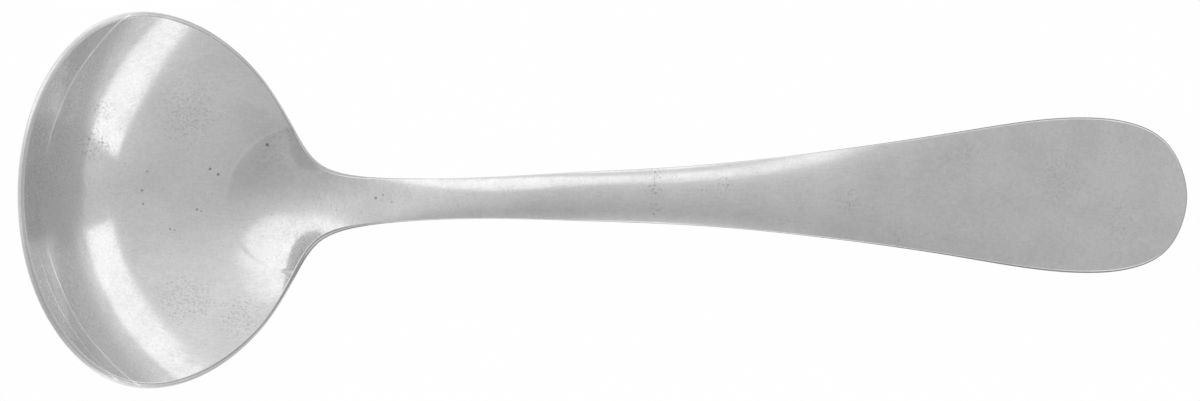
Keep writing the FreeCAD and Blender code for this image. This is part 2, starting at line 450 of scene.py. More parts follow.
@dataclass
class LadleForm:
    """Faces of the ladle in the frame of its bowl, in millimetres.

    x runs from the nose to the handle along the plane of the rim, with 0 where the mouth is
    widest, y runs across, and z is up from that plane.  Stations are shares: of the nose, the
    heel or the handle along x, and of the size that they shape across or up.
    """

    mouth_width: float = 40.65
    mouth_nose: float = 14.85
    mouth_heel: float = 23.1
    bowl_depth: float = 9.7
    rim_wall: float = 0.8
    bowl_wall: float = 1.0
    handle_reach: float = 85.05
    handle_rise: float = 44.9
    shank_width: float = 3.9
    shank_thickness: float = 2.6
    blade_width: float = 16.8
    blade_thickness: float = 1.5
    blade_round: float = 11.5
    shoulder_drop: float = 1.2
    edge_wall: float = 1.15
    nose_keel: Stations = ((-1.0, 0.0), (-0.84, 0.266), (-0.60, 0.612), (-0.30, 0.901))
    heel_keel: Stations = ((0.0, 1.028), (0.28, 0.961), (0.54, 0.822), (0.80, 0.555), (1.0, 0.050))
    handle_arch: Stations = (
        (0.062, 0.191), (0.135, 0.375), (0.208, 0.491), (0.295, 0.588), (0.397, 0.694),
        (0.504, 0.794), (0.627, 0.885), (0.754, 0.943), (0.866, 0.976), (1.0, 1.0),
    )
    nose_edge: Stations = ((-1.0, 0.0), (-0.90, 0.467), (-0.62, 0.777), (-0.30, 0.945))
    heel_edge: Stations = ((0.0, 1.0), (0.27, 0.957), (0.50, 0.816), (0.70, 0.623), (0.86, 0.382))
    neck_edge: Stations = ((1.0, 1.76), (1.20, 1.20))
    swell: Stations = ((0.125, 0.04), (0.26, 0.10), (0.42, 0.197), (0.60, 0.42), (0.80, 0.75))
    blade_end: Stations = ((0.42, 0.94), (0.78, 0.71), (0.96, 0.31), (1.0, 0.0))
    hollow: Stations = (
        (0.0, 1.010), (0.20, 0.972), (0.40, 0.922), (0.54, 0.846), (0.70, 0.665), (0.80, 0.475),
        (0.90, 0.265), (1.0, 0.135), (1.10, 0.070), (1.25, 0.022), (1.40, 0.004), (1.50, 0.0),
    )
    slope_step: float = 0.02
    outline_samples: int = 4001

    def __post_init__(self) -> None:
        """Draws the curves that the faces follow."""
        self.half_mouth = self.mouth_width / 2
        self.half_blade = self.blade_width / 2
        self.tip_x = self.mouth_heel + self.handle_reach
        self.blade_x = self.tip_x - self.blade_round
        self.keel = self._keel()
        self._outline()
        self.dish_end = self.bowl_x(self.hollow[-1][0])
        self.dish = self._dish()
        self.shoulder_start = self.bowl_x(0.9)
        self.shoulder = self._shoulder()
        self._walls()

    def _shoulder(self) -> Curve:
        """Draws how far the top face falls off towards its edges, along the handle.

        Returns:
            The fall at the edge, along x.
        """
        drop = self.shoulder_drop
        return Curve(
            [
                (self.shoulder_start, 0.0),
                (self.bowl_x(1.25), 0.5 * drop),
                (self.handle_x(0.20), 0.75 * drop),
                (self.handle_x(0.45), drop),
                (self.handle_x(0.60), 0.45 * drop),
                (self.handle_x(0.75), 0.15 * drop),
                (self.blade_x, 0.1 * drop),
                (self.tip_x, 0.08 * drop),
            ],
            0.0,
        )

    def _walls(self) -> None:
        """Draws the thickness of the metal, along its spine and along its edge."""
        self.spine = Curve(
            [
                (-self.mouth_nose, self.rim_wall),
                (0.0, self.bowl_wall),
                (self.bowl_x(0.6), 1.1 * self.bowl_wall),
                (self.mouth_heel, 0.8 * self.shank_thickness),
                (self.bowl_x(1.35), self.shank_thickness),
                (self.handle_x(0.45), 0.9 * self.shank_thickness),
                (self.blade_x, 1.1 * self.blade_thickness),
                (self.tip_x, self.blade_thickness),
            ]
        )
        self.edge = Curve(
            [
                (-self.mouth_nose, self.rim_wall),
                (self.bowl_x(0.5), self.rim_wall),
                (self.mouth_heel, self.rim_wall),
                (self.bowl_x(1.4), self.edge_wall),
                (self.blade_x, self.edge_wall),
                (self.tip_x, self.edge_wall),
            ]
        )

    def bowl_x(self, share: float) -> float:
        """Place along the rim plane of a share of the nose or, past the widest, of the heel."""
        return share * (self.mouth_nose if share < 0 else self.mouth_heel)

    def handle_x(self, share: float) -> float:
        """Place along the rim plane of a share of the handle, from the mouth's heel."""
        return self.mouth_heel + share * self.handle_reach

    def _keel(self) -> Curve:
        """Draws the middle line of the top face, through the bowl and along the handle.

        Returns:
            Its height along x.
        """
        heel_z = -self.bowl_depth * self.heel_keel[-1][1]
        stations = [
            (self.bowl_x(a), -self.bowl_depth * depth)
            for a, depth in (*self.nose_keel, *self.heel_keel)
        ]
        stations += [
            (self.handle_x(a), heel_z + rise * (self.handle_rise - heel_z))
            for a, rise in self.handle_arch
        ]
        return Curve(stations)

    def _outline(self) -> None:
        """Draws half of the outline as two curves of the length run along it."""
        half_shank = self.shank_width / 2
        stations = [
            (self.bowl_x(a), self.half_mouth * w) for a, w in (*self.nose_edge, *self.heel_edge)
        ]
        stations += [(self.bowl_x(a), half_shank * w) for a, w in self.neck_edge]
        for along, grown in self.swell:
            x = self.mouth_heel + along * (self.blade_x - self.mouth_heel)
            stations.append((x, half_shank + grown * (self.half_blade - half_shank)))
        stations.append((self.blade_x, self.half_blade))
        stations += [
            (self.blade_x + a * self.blade_round, self.half_blade * w) for a, w in self.blade_end
        ]
        x, w = np.array(stations).T
        run = np.concatenate([[0.0], np.cumsum(np.hypot(np.diff(x), np.diff(w)))])
        self.length = float(run[-1])
        self.outline_x = Curve(list(zip(run, x)), 0.0, 0.0)
        self.outline_w = Curve(list(zip(run, w)), 1.0, -1.0)
        places = np.linspace(0.0, self.length, self.outline_samples)
        self._spread_x = self.outline_x(places)
        self._spread_w = self.outline_w(places)

    def spread(self, x: Any) -> np.ndarray:
        """Half-width that the cross-sections are measured in.

        Args:
            x: Place or places along the rim plane.

        Returns:
            Half of the outline's width there, and of the mouth's or the blade's at the rounds.
        """
        x = np.asarray(x, float)
        inside = np.interp(x, self._spread_x, self._spread_w)
        handle = np.where(x >= self.blade_x, self.half_blade, inside)
        return np.where(x <= 0, self.half_mouth, handle)

    def _dish(self) -> Curve:
        """Draws the curvature across the bowl and the neck, which sets the rim's height.

        Returns:
            The rise along x, by the square of the place across.
        """
        first = self.hollow[0][1] * self.bowl_depth / self.half_mouth**2
        stations = [(self.bowl_x(a), first) for a in (-1.0, -0.5)]
        for a, height in self.hollow:
            x = self.bowl_x(a)
            stations.append((x, height * self.bowl_depth / float(self.spread(x)) ** 2))
        return Curve(stations)

    def top_z(self, x: Any, y: Any) -> np.ndarray:
        """Height of the top face.

        Args:
            x: Place or places along the rim plane.
            y: Place or places across it.

        Returns:
            The height at each.
        """
        x = np.asarray(x, float)
        y = np.asarray(y, float)
        rise = np.where(x < self.dish_end, self.dish(x), 0.0)
        drop = np.where(x > self.shoulder_start, self.shoulder(x), 0.0)
        across = y / self.spread(x)
        return self.keel(x) + rise * y * y - drop * (across**2 + across**4) / 2

    def top_normal(self, x: np.ndarray, y: np.ndarray) -> np.ndarray:
        """Upward normals of the top face.

        Args:
            x: Places along the rim plane.
            y: Places across it.

        Returns:
            One unit vector for each place.
        """
        h = self.slope_step
        dx = (self.top_z(x + h, y) - self.top_z(x - h, y)) / (2 * h)
        dy = (self.top_z(x, y + h) - self.top_z(x, y - h)) / (2 * h)
        normal = np.stack([-dx, -dy, np.ones_like(dx)], axis=-1)
        return normal / np.linalg.norm(normal, axis=-1, keepdims=True)

    def wall(self, x: np.ndarray, y: np.ndarray) -> np.ndarray:
        """Thickness of the metal, from the spine on the middle line to the edge.

        Args:
            x: Places along the rim plane.
            y: Places across it.

        Returns:
            The thickness at each.
        """
        across = np.minimum(np.abs(y) / self.spread(x), 1.0)
        return self.edge(x) + (self.spine(x) - self.edge(x)) * (1 - across**2)

    def outward(self, s: np.ndarray, side: int, normal: np.ndarray) -> np.ndarray:
        """Directions that point out of the outline, along the face.

        Args:
            s: Places along half of the outline.
            side: 1 for the side towards +y, -1 for the other.
            normal: Normals of the top face there.

        Returns:
            One unit vector for each place.
        """
        step = self.slope_step / 2
        behind = np.maximum(s - step, 0.0)
        ahead = np.minimum(s + step, self.length)
        run_x = self.outline_x(ahead) - self.outline_x(behind)
        run_w = self.outline_w(ahead) - self.outline_w(behind)
        run_x = np.where((s <= step) | (s >= self.length - step), 0.0, run_x)
        out = np.stack([-run_w, side * run_x, np.zeros_like(s)], axis=-1)
        out /= np.linalg.norm(out, axis=-1, keepdims=True)
        out -= normal * (out * normal).sum(-1, keepdims=True)
        return out / np.linalg.norm(out, axis=-1, keepdims=True)


@dataclass(frozen=True)
class Pit:
    """A small dark mark on the metal, by its place in the plan, in millimetres."""

    x: float
    y: float
    radius: float
    depth: float

    def near(self, flat: Sum, core: float) -> Sum:
        """One in the mark's core, a share of its radius, and zero past its radius."""
        return flat.distance((self.x, self.y, 0.0)).ramp(self.radius, self.radius * core)


@dataclass(frozen=True)
class Ring:
    """A circle in the plan with a soft edge, in millimetres."""

    x: float
    y: float
    radius: float
    soft: float

    def outside(self, flat: Sum) -> Sum:
        """One outside the circle and zero inside it."""
        off = flat.distance((self.x, self.y, 0.0))
        return off.ramp(self.radius - self.soft, self.radius + self.soft)


@dataclass(frozen=True)
class PaintedHighlightArc:
    """A painted highlight: a thin bright line along a circle in the plan, in millimetres, where
    the rim's edges show in the bowl.

    It fades in across the ladle over its fade, to the south alone where the fade is below 0
    and to both sides where it isn't.
    """

    x: float
    y: float
    radius: float
    width: float
    lift: float
    fade: Reach
    core: float = 0.3

    def line(self, flat: Sum, across: Sum) -> Sum:
        """The line's brightness.

        Args:
            flat: Place in the plan.
            across: Place across the ladle.

        Returns:
            The lift along the line, and zero beside it.
        """
        beside = (across if self.fade[1] < 0 else abs(across)).ramp(*self.fade)
        off = abs(flat.distance((self.x, self.y, 0.0)) - self.radius)
        return off.ramp(self.width, self.width * self.core) * beside * self.lift


@dataclass(frozen=True)
class Scratches:
    """A set of fine scratches that run one way, in degrees and millimetres."""

    turn: float
    length: float
    pitch: float
    share: float
    lift: float


@dataclass(frozen=True)
class Marks:
    """Where each mark shows on the silver, mostly as values between 0 and 1; some are painted
    shade or painted highlights.
    """

    tarnish: Sum
    grain: Sum
    lines: Sum
    holes: Sum
    handle_end_shade: Sum
    neck: Sum
    crease: Sum
    dull_and_shade: Sum
    bright: Sum
    edge: Sum


@dataclass(frozen=True)
class WornSilver:
    """Old polished silver with soft tarnish, hairline scratches and pits, and painted shade and
    highlights.

    Each film is the share of a darker tone that a mark lays over the silver.  The films of the
    handle's end, the neck, the nose's wall and the lip are painted shade, and the arcs are painted
    highlights.  A reach runs from where a mark is absent to where it is full, in millimetres in
    the ladle's plan or in the values of the noise, the sine or the cosine that it is taken from.
    Heights and depths are in units of the bump's distance, which is in millimetres.
    """

    name: str = "worn_silver"
    tarnish_film: float = 0.22
    grain_film: float = 0.17
    # painted shade: darker tone on the handle's wide end, where the silver reflects the grey dome
    end_shade_film: float = 0.36
    # painted shade: darker tone on the north half of the bowl's wall by the neck
    neck_shade_film: float = 0.28
    line_film: float = 0.75
    # painted shade: darker tone on the nose's wall, besides its rougher polish
    dull_shade_film: float = 0.28
    # painted shade: darker tone on the rounded lip, except at the nose
    lip_shade_film: float = 0.50
    hole_film: float = 0.75
    roughness: float = 0.07
    tarnish_roughness: float = 0.15
    wall_roughness: float = 0.16
    line_roughness: float = 0.10
    hole_roughness: float = 0.25
    bump_strength: float = 0.35
    bump_distance: float = 0.02
    wave_height: float = 0.16
    line_depth: float = 0.30
    hole_depth: float = 0.5
    crease_height: float = 7.0
    arc_height: float = 2.0
    top_reach: Reach = (-0.1, 0.1)
    edge_turn: Reach = (0.1, 0.7)
    edge_reach: Reach = (-56.0, -44.0)
    nose_reach: Reach = (-40.0, -46.0)
    end_reach: Reach = (20.0, 38.0)
    neck_reach: Reach = (-1.0, 4.0)
    crease_reach: Reach = (-29.0, -32.0)
    wave: Cloud = Cloud(0.55, 3.0)
    tarnish_clouds: Cloud = Cloud(0.22, 5.0, 0.55)
    tarnish_grain: Cloud = Cloud(1.6, 4.0, 0.6)
    clouds_share: float = 0.65
    tarnish_reach: Reach = (0.38, 0.64)
    grain_along: Cloud = Cloud(1.0, 3.0, 0.6)
    grain_across: Cloud = Cloud(1.0, 2.0, 0.6)
    along_stretch: Triple = (0.7, 4.5, 4.5)
    across_stretch: Triple = (5.0, 1.6, 1.6)
    along_share: float = 0.6
    grain_reach: Reach = (0.40, 0.62)
    line_noise: Cloud = Cloud(1.0, 1.0)
    line_width: float = 0.012
    line_patches: Cloud = Cloud(0.28, 1.0)
    patch_soft: Reach = (0.10, 0.22)
    patch_shift: Triple = (7.3, 3.1, 0.0)
    speck_scale: float = 1.1
    speck_size: Reach = (0.11, 0.04)
    speck_depth: float = 0.55
    speck_patches: Cloud = Cloud(0.35, 2.0)
    speck_shift: Triple = (2.0, 9.0, 4.0)
    speckle_reach: Reach = (0.50, 0.66)
    blot_grain: Cloud = Cloud(3.2, 3.0, 0.7)
    blot_core: float = 0.2
    pit_core: float = 0.35
    # the nose's wall outside this ring is rougher and painted darker as shade
    dull_wall: Ring = Ring(-32.1, 0.7, 25.7, 0.4)
    crease: Ring = Ring(-33.8, 0.2, 8.0, 0.35)
    neck_shade: Ring = Ring(-33.8, 0.2, 8.0, 0.12)
    # painted highlights: thin bright lines where the rim's edges show in the bowl
    painted_highlight_arcs: tuple[PaintedHighlightArc, ...] = (
        PaintedHighlightArc(-36.24, 0.2, 26.0, 0.16, 1.0, (4.0, 8.0)),
        PaintedHighlightArc(-36.24, 0.2, 27.1, 0.13, 0.7, (-5.0, -8.0)),
    )
    scratches: tuple[Scratches, ...] = (
        Scratches(turn=14.0, length=2.6, pitch=0.13, share=0.36, lift=0.9),
        Scratches(turn=-38.0, length=2.1, pitch=0.15, share=0.38, lift=0.8),
        Scratches(turn=72.0, length=1.8, pitch=0.16, share=0.38, lift=0.8),
        Scratches(turn=-81.0, length=3.4, pitch=0.18, share=0.34, lift=0.7),
        Scratches(turn=3.0, length=5.5, pitch=0.14, share=0.33, lift=0.5),
    )
    pits: tuple[Pit, ...] = (
        Pit(-37.2, 6.5, 0.26, 1.0),
        Pit(-43.6, 3.9, 0.20, 1.0),
        Pit(-42.7, 3.3, 0.22, 1.0),
        Pit(-51.2, 1.5, 0.20, 0.8),
        Pit(-51.1, 0.0, 0.17, 0.8),
        Pit(-45.1, -0.6, 0.20, 0.8),
        Pit(-44.6, -0.8, 0.14, 0.8),
        Pit(-48.1, -2.8, 0.17, 0.7),
        Pit(-47.6, -2.9, 0.15, 0.7),
        Pit(-36.8, -1.2, 0.12, 0.5),
        Pit(-50.6, 3.6, 0.16, 0.7),
        Pit(-25.2, 0.3, 0.22, 0.7),
        Pit(-24.4, 0.6, 0.15, 0.7),
        Pit(-23.4, -0.2, 0.14, 0.6),
        Pit(-29.6, -0.9, 0.12, 0.6),
    )
    blots: tuple[Pit, ...] = (
        Pit(5.9, 0.6, 1.3, 0.8),
        Pit(6.0, 2.4, 1.0, 0.6),
        Pit(5.9, -1.6, 1.1, 0.6),
        Pit(13.6, 1.2, 1.2, 0.7),
        Pit(11.2, 0.4, 0.9, 0.35),
        Pit(27.5, -0.6, 2.4, 0.3),
        Pit(33.0, -4.5, 2.2, 0.25),
        Pit(51.0, 2.0, 3.5, 0.25),
        Pit(58.0, -3.0, 3.0, 0.25),
        Pit(40.0, 4.0, 2.6, 0.2),
        Pit(-46.5, -11.0, 4.5, 0.5),
        Pit(-40.5, -12.5, 3.8, 0.45),
        Pit(-46.0, 10.0, 5.0, 0.35),
        Pit(-56.5, 6.5, 2.6, 0.8),
        Pit(-55.5, 10.0, 2.2, 0.5),
        Pit(-36.0, 6.0, 4.0, 0.2),
    )

    def material(self) -> bpy.types.Material:
        """Makes the finish.

        Returns:
            The material, which reads Object coordinates and the turn round the edge.
        """
        material = bpy.data.materials.new(self.name)
        nodes = NodeMaker.cleared(material)
        place = nodes.add("ShaderNodeTexCoord", output="Object") * (1 / MM)
        marks = self._marks(nodes, place)
        bump = nodes.add(
            "ShaderNodeBump",
            inputs={
                "Strength": self.bump_strength,
                "Distance": self.bump_distance * MM,
                "Height": self._height(nodes, place, marks),
            },
        )
        metal = nodes.add(
            "ShaderNodeBsdfPrincipled",
            inputs={
                "Base Color": self._colour(nodes, marks),
                "Metallic": 1.0,
                "Roughness": self._roughness(marks),
                "Normal": bump,
            },
        )
        nodes.node("ShaderNodeOutputMaterial", inputs={"Surface": metal})
        return material

    def _marks(self, nodes: NodeMaker, place: Sum) -> Marks:
        """Finds where each mark shows.

        Args:
            nodes: Maker on the material's tree.
            place: Place on the ladle, in millimetres.

        Returns:
            The marks, with those of the top face kept off the underside.
        """
        flat = nodes.turned(place, 0.0, (1.0, 1.0, 0.0))
        parts = nodes.add("ShaderNodeSeparateXYZ", inputs={0: flat})
        along, across = parts.output("X"), parts.output("Y")
        turn = nodes.add(
            "ShaderNodeAttribute",
            {"attribute_type": "GEOMETRY", "attribute_name": "turn"},
            output="Fac",
        )
        top = turn.cosine().ramp(*self.top_reach)
        nose = along.ramp(*self.nose_reach) * top
        north = across.ramp(*self.neck_reach) * top
        return Marks(
            tarnish=self._tarnish(nodes, place),
            grain=self._grain(nodes, place),
            lines=self._lines(nodes, place),
            holes=self._holes(nodes, place, flat, top),
            # painted shade: the handle's wide end is darkened
            handle_end_shade=along.ramp(*self.end_reach),
            # painted shade on the north half of the bowl's wall by the neck
            neck=(1.0 - self.neck_shade.outside(flat)) * north,
            crease=self.crease.outside(flat) * along.ramp(*self.crease_reach) * top,
            # rougher nose wall, also painted darker as shade
            dull_and_shade=self.dull_wall.outside(flat) * nose,
            # painted highlights: lines lifted back to clean silver
            bright=self._painted_highlight_arcs(flat, across) * nose,
            # painted shade on the rounded lip, except at the nose
            edge=turn.sine().ramp(*self.edge_turn) * along.ramp(*self.edge_reach),
        )

    def _colour(self, nodes: NodeMaker, marks: Marks) -> Sum:
        """Colour of the silver under its films, with painted shade and painted highlights mixed
        in.

        Args:
            nodes: Maker on the material's tree.
            marks: Where each mark shows.

        Returns:
            The colour.
        """
        # tarnish and grain are the silver's own, the handle's end and the neck are painted shade
        film = marks.tarnish * self.tarnish_film + marks.handle_end_shade * self.end_shade_film
        film = film + marks.grain * self.grain_film + marks.neck * self.neck_shade_film
        colour = nodes.mix(film, Colour.SILVER.value, Colour.TARNISH_AND_SHADE.value)
        for share, tone in (
            (marks.lines * self.line_film, Colour.TARNISH_AND_SHADE),
            (marks.dull_and_shade * self.dull_shade_film, Colour.DULL_AND_SHADE),
            # painted highlights, back to clean silver
            (marks.bright, Colour.SILVER),
            # painted shade on the lip
            (marks.edge * self.lip_shade_film, Colour.DARK_MARK_AND_SHADE),
            (marks.holes * self.hole_film, Colour.DARK_MARK_AND_SHADE),
        ):
            colour = nodes.mix(share, colour, tone.value)
        return colour

    def _roughness(self, marks: Marks) -> Sum:
        """Roughness of the polish.

        Args:
            marks: Where each mark shows.

        Returns:
            The roughness.
        """
        roughness = self.roughness + marks.tarnish * (self.tarnish_roughness - self.roughness)
        roughness = roughness + marks.dull_and_shade * (1.0 - marks.bright) * self.wall_roughness
        return roughness + marks.lines * self.line_roughness + marks.holes * self.hole_roughness

    def _height(self, nodes: NodeMaker, place: Sum, marks: Marks) -> Sum:
        """Height of the surface for the bump.

        Args:
            nodes: Maker on the material's tree.
            place: Place on the ladle, in millimetres.
            marks: Where each mark shows.

        Returns:
            The height, in units of the bump's distance.
        """
        height = nodes.noise(place, self.wave) * self.wave_height - marks.lines * self.line_depth
        height = height - marks.holes * self.hole_depth + marks.crease * self.crease_height
        return height + marks.bright * self.arc_height

    def _tarnish(self, nodes: NodeMaker, place: Sum) -> Sum:
        """Soft cloudy tarnish, between 0 and 1."""
        clouds = nodes.noise(place, self.tarnish_clouds) * self.clouds_share
        grain = nodes.noise(place, self.tarnish_grain) * (1 - self.clouds_share)
        return (clouds + grain).ramp(*self.tarnish_reach)

    def _grain(self, nodes: NodeMaker, place: Sum) -> Sum:
        """Fine grain of the worn polish, along and across the ladle, between 0 and 1."""
        along = nodes.noise(nodes.turned(place, 0.0, self.along_stretch), self.grain_along)
        across = nodes.noise(nodes.turned(place, 0.0, self.across_stretch), self.grain_across)
        both = along * self.along_share + across * (1 - self.along_share)
        return both.ramp(*self.grain_reach)

    def _painted_highlight_arcs(self, flat: Sum, across: Sum) -> Sum:
        """Painted highlights: thin bright lines along the inner wall, where the rim's edges show.

        Args:
            flat: Place in the plan.
            across: Place across the ladle.

        Returns:
            The lines' brightness together.
        """
        first, *others = (arc.line(flat, across) for arc in self.painted_highlight_arcs)
        return sum(others, first)

    def _lines(self, nodes: NodeMaker, place: Sum) -> Sum:
        """Hairline scratches in patches.

        Args:
            nodes: Maker on the material's tree.
            place: Place on the ladle, in millimetres.

        Returns:
            How deep the scratches are, mostly between 0 and 1.
        """
        sets = []
        for i, run in enumerate(self.scratches):
            fine = 1 / run.pitch
            stretched = nodes.turned(place, run.turn, (1 / run.length, fine, fine))
            line = abs(nodes.noise(stretched, self.line_noise) - 0.5).ramp(self.line_width, 0.0)
            shift = tuple(step * i for step in self.patch_shift)
            patch = nodes.noise(place + shift, self.line_patches)
            bare, full = self.patch_soft
            sets.append(line * patch.ramp(run.share + bare, run.share + full) * run.lift)
        return sum(sets[1:], sets[0])

    def _holes(self, nodes: NodeMaker, place: Sum, flat: Sum, top: Sum) -> Sum:
        """Fine specks all over, and pits and speckled blots each at its own place.

        Args:
            nodes: Maker on the material's tree.
            place: Place on the ladle, in millimetres.
            flat: Place in the plan.
            top: One on the top face, where the pits and blots are.

        Returns:
            The marks together, at most 1.
        """
        patch = nodes.noise(place + self.speck_shift, self.speck_patches)
        patch = patch.ramp(*self.speckle_reach)
        total = self._specks(nodes, place) * patch * self.speck_depth
        grain = nodes.noise(place, self.blot_grain).ramp(*self.speckle_reach) * top
        for blot in self.blots:
            total = total + blot.near(flat, self.blot_core) * grain * blot.depth
        for pit in self.pits:
            total = total + pit.near(flat, self.pit_core) * top * pit.depth
        return nodes.add("ShaderNodeMath", {"operation": "MINIMUM"}, {0: total, 1: 1.0})

    def _specks(self, nodes: NodeMaker, place: Sum) -> Sum:
        """Fine round specks scattered all over.

        Args:
            nodes: Maker on the material's tree.
            place: Place on the ladle, in millimetres.

        Returns:
            The specks, between 0 and 1.
        """
        off = nodes.add(
            "ShaderNodeTexVoronoi",
            {"feature": "F1", "voronoi_dimensions": "3D"},
            {"Vector": place, "Scale": self.speck_scale, "Randomness": 1.0},
            "Distance",
        )
        return off.ramp(*self.speck_size)


@dataclass
class Ladle:
    """The whole ladle, one shell of metal with a rounded edge.

    The edge's bulge is a share of the wall, and the unevenness is in millimetres.
    """

    form: LadleForm = field(default_factory=LadleForm)
    finish: WornSilver = field(default_factory=WornSilver)
    rows: int = 420
    columns: int = 56
    edge_steps: int = 8
    end_crowding: float = 0.86
    edge_bulge: float = 0.25
    edge_squareness: float = 0.95
    unevenness: float = 0.012
    uneven_pitch: float = 5.0
    seed: float = 4.0
    settling_rounds: int = 12

    def build(self) -> bpy.types.Object:
        """Builds the ladle, lays it down at rest and dresses it.

        Returns:
            The finished piece, with its place in its mesh.
        """
        rough = linked("ladle_sheet", self._base_mesh())
        group = self._shell_tree()
        shell = rough.modifiers.new("shell", "NODES")
        shell.node_group = group
        values = {
            "Edge Bulge": self.edge_bulge,
            "Edge Squareness": self.edge_squareness,
            "Unevenness": self.unevenness,
            "Uneven Pitch": self.uneven_pitch,
            "Seed": self.seed,
            "Finish": self.finish.material(),
        }
        for item in group.interface.items_tree:
            if item.item_type == "SOCKET" and item.name in values:
                shell[item.identifier] = values[item.name]
        graph = bpy.context.evaluated_depsgraph_get()
        mesh = bpy.data.meshes.new_from_object(rough.evaluated_get(graph))
        rough.modifiers.clear()
        bpy.data.objects.remove(rough)
        for name in ("middle", "across", "outward", "half_wall"):
            mesh.attributes.remove(mesh.attributes[name])
        self._lay_down(mesh)
        piece = linked("ladle_metal", mesh)
        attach(piece, "root")
        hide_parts("ladle")
        return piece

    def _places(self) -> np.ndarray:
        """Places along half of the outline, closer together at the nose and the tip.

        Returns:
            The length run along the outline to each row.
        """
        turn = 2 * math.pi * np.arange(self.rows + 1) / self.rows
        return self.form.length * (turn - self.end_crowding * np.sin(turn)) / (2 * math.pi)

    def _base_mesh(self) -> bpy.types.Mesh:
        """Net of the whole surface, with what each point needs to find its place.

        Returns:
            A mesh on the middle of the metal, with the direction across the wall, the
            direction out of the edge, half the wall, and the turn round the edge.
        """
        form = self.form
        s = self._places()
        x = form.outline_x(s)
        w = np.maximum(form.outline_w(s), 0.0)
        share = np.sin(np.linspace(-math.pi / 2, math.pi / 2, self.columns + 1))
        points: list[tuple[float, float, float, int, float]] = []
        faces: list[tuple[int, ...]] = []

        def point(row: int, y: float, side: int, turn: float) -> int:
            """Adds a point and hands back its number."""
            points.append((x[row], y, s[row], side, turn))
            return len(points) - 1

        ring = [(row, 1) for row in range(self.rows + 1)]
        ring += [(row, -1) for row in range(self.rows - 1, 0, -1)]
        turns = np.linspace(Face.TOP.value, Face.UNDER.value, self.edge_steps + 1)
        rim = {
            (row, side): [point(row, side * w[row], side, turn) for turn in turns]
            for row, side in ring
        }
        for (row, side), (after, other) in zip(ring, ring[1:] + ring[:1]):
            here, there = rim[row, side], rim[after, other]
            for k in range(self.edge_steps):
                faces.append((here[k], there[k], there[k + 1], here[k + 1]))
        last = self.rows
        for face in Face:
            end = 0 if face is Face.TOP else self.edge_steps
            net: list[list[int]] = []
            for row in range(1, last):
                inner = [point(row, v * w[row], 0, face.value) for v in share[1:-1]]
                net.append([rim[row, -1][end], *inner, rim[row, 1][end]])
            nose, tip = rim[0, 1][end], rim[last, 1][end]
            quads = [
                (lower[j], higher[j], higher[j + 1], lower[j + 1])
                for lower, higher in zip(net, net[1:])
                for j in range(self.columns)
            ]
            quads += [(nose, net[0][j], net[0][j + 1]) for j in range(self.columns)]
            quads += [(net[-1][j], tip, net[-1][j + 1]) for j in range(self.columns)]
            faces += quads if face is Face.TOP else [tuple(reversed(q)) for q in quads]
        return self._net(np.array(points), faces)

    def _net(self, points: np.ndarray, faces: list[tuple[int, ...]]) -> bpy.types.Mesh:
        """Makes the net's mesh.

        Args:
            points: For each point x, y, the length run along the outline, the side of the
                outline or 0 inside it, and the turn round the edge.
            faces: The points of each face.

        Returns:
            The mesh, with an attribute for each thing that places the surface.
        """
        form = self.form
        x, y, s, side, turn = points.T
        normal = form.top_normal(x, y)
        wall = form.wall(x, y)
        middle = np.stack([x, y, form.top_z(x, y)], -1) - normal * (wall / 2)[:, None]
        out = np.zeros_like(middle)
        for one in (1, -1):
            here = side == one
            out[here] = form.outward(s[here], one, normal[here])
        mesh = bpy.data.meshes.new("ladle_metal")
        mesh.from_pydata(middle * MM, [], faces)
        for name, values in (("middle", middle * MM), ("across", normal), ("outward", out)):
            attribute = mesh.attributes.new(name, "FLOAT_VECTOR", "POINT")
            attribute.data.foreach_set("vector", values.astype(np.float32).ravel())
        for name, values in (("half_wall", wall / 2 * MM), ("turn", turn)):
            attribute = mesh.attributes.new(name, "FLOAT", "POINT")
            attribute.data.foreach_set("value", values.astype(np.float32))
        return mesh

    def _shell_tree(self) -> bpy.types.NodeTree:
        """Tree that moves each point of the net to its place on the metal's surface.

        Returns:
            The tree, with the edge's shape and the unevenness as named inputs.
        """
        tree = bpy.data.node_groups.new("ladle_shell", "GeometryNodeTree")
        face = tree.interface
        face.new_socket("Geometry", in_out="INPUT", socket_type="NodeSocketGeometry")
        for name in ("Edge Bulge", "Edge Squareness", "Unevenness", "Uneven Pitch", "Seed"):
            face.new_socket(name, in_out="INPUT", socket_type="NodeSocketFloat")
        face.new_socket("Finish", in_out="INPUT", socket_type="NodeSocketMaterial")
        face.new_socket("Geometry", in_out="OUTPUT", socket_type="NodeSocketGeometry")
        nodes = NodeMaker(tree)
        given = nodes.add("NodeGroupInput")

        def stored(name: str, kind: str) -> Sum:
            """One of the net's attributes."""
            settings = {"data_type": kind}
            return nodes.add("GeometryNodeInputNamedAttribute", settings, {"Name": name})

